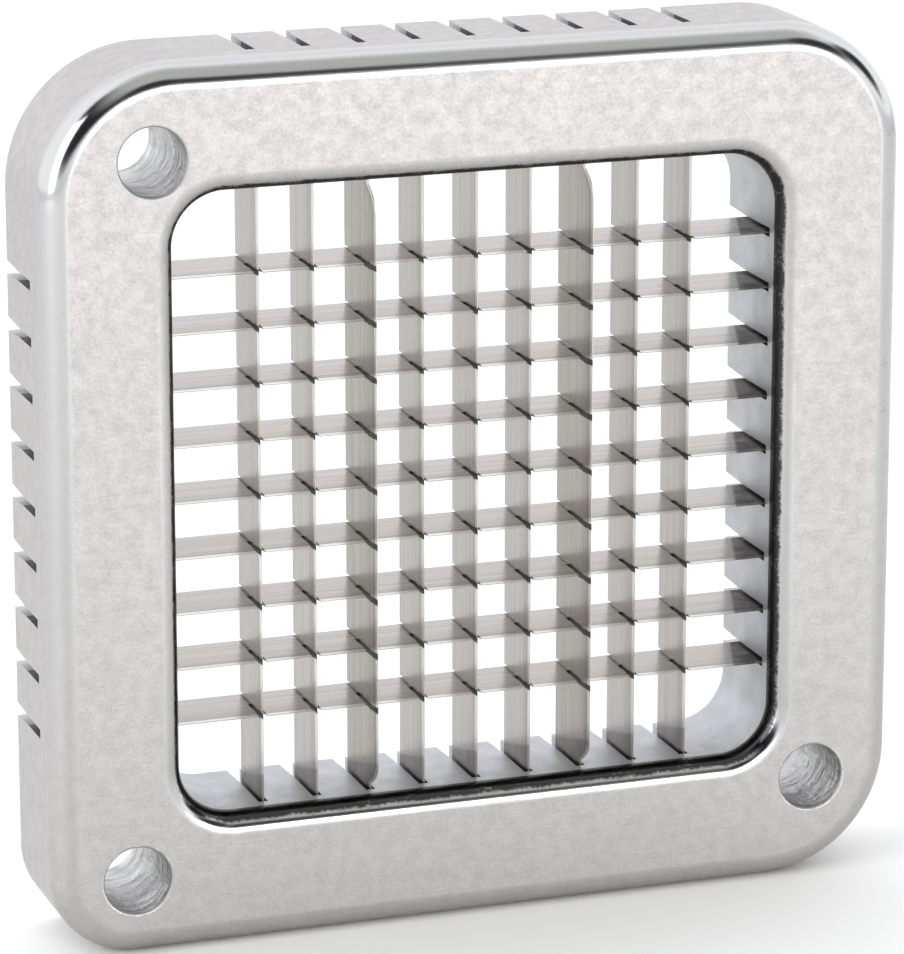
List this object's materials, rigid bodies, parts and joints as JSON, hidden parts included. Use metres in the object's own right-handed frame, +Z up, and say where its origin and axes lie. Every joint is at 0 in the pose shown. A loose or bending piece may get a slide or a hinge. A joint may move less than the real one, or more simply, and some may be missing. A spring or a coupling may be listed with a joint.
{
  "type": "vegetable dicer blade cassette",
  "caption": "Square cast frame with round corners and post holes, holding a crossed grid of strip blades that dice vegetables pushed through it.",
  "frame": {"origin": "middle of the bottom side of the frame, as the cassette stands on edge", "axes": "+X to the right as seen from the front, +Y through the cassette from its front, where the food comes in, to its back, +Z up"},
  "size_m": [0.1506, 0.023, 0.1506],
  "materials": {
    "cast_aluminium": "tumbled satin casting with polished round edges",
    "blade_steel": "lengthwise grain, ground cutting edge",
    "rod_steel": "drawn wire"
  },
  "bodies": {
    "cassette": {"frame_casting": "cast_aluminium", "vertical_blade_1": "blade_steel", "vertical_blade_2": "blade_steel", "tall_vertical_blade_3": "blade_steel", "vertical_blade_4": "blade_steel", "vertical_blade_5": "blade_steel", "vertical_blade_6": "blade_steel", "tall_vertical_blade_7": "blade_steel", "vertical_blade_8": "blade_steel", "vertical_blade_9": "blade_steel", "horizontal_blade_1": "blade_steel", "horizontal_blade_2": "blade_steel", "horizontal_blade_3": "blade_steel", "horizontal_blade_4": "blade_steel", "horizontal_blade_5": "blade_steel", "horizontal_blade_6": "blade_steel", "horizontal_blade_7": "blade_steel", "horizontal_blade_8": "blade_steel", "horizontal_blade_9": "blade_steel"},
    "rod_left": {"retaining_rod_left": "rod_steel"},
    "rod_right": {"retaining_rod_right": "rod_steel"},
    "rod_top": {"retaining_rod_top": "rod_steel"},
    "rod_bottom": {"retaining_rod_bottom": "rod_steel"}
  },
  "joints": [
    {"name": "rod_left_lift_out", "type": "slide", "parent": "cassette", "child": "rod_left", "axis": [0, 1, 0], "range_m": [0, 0.008]},
    {"name": "rod_right_lift_out", "type": "slide", "parent": "cassette", "child": "rod_right", "axis": [0, 1, 0], "range_m": [0, 0.008]},
    {"name": "rod_top_lift_out", "type": "slide", "parent": "cassette", "child": "rod_top", "axis": [0, 1, 0], "range_m": [0, 0.008]},
    {"name": "rod_bottom_lift_out", "type": "slide", "parent": "cassette", "child": "rod_bottom", "axis": [0, 1, 0], "range_m": [0, 0.008]}
  ]
}
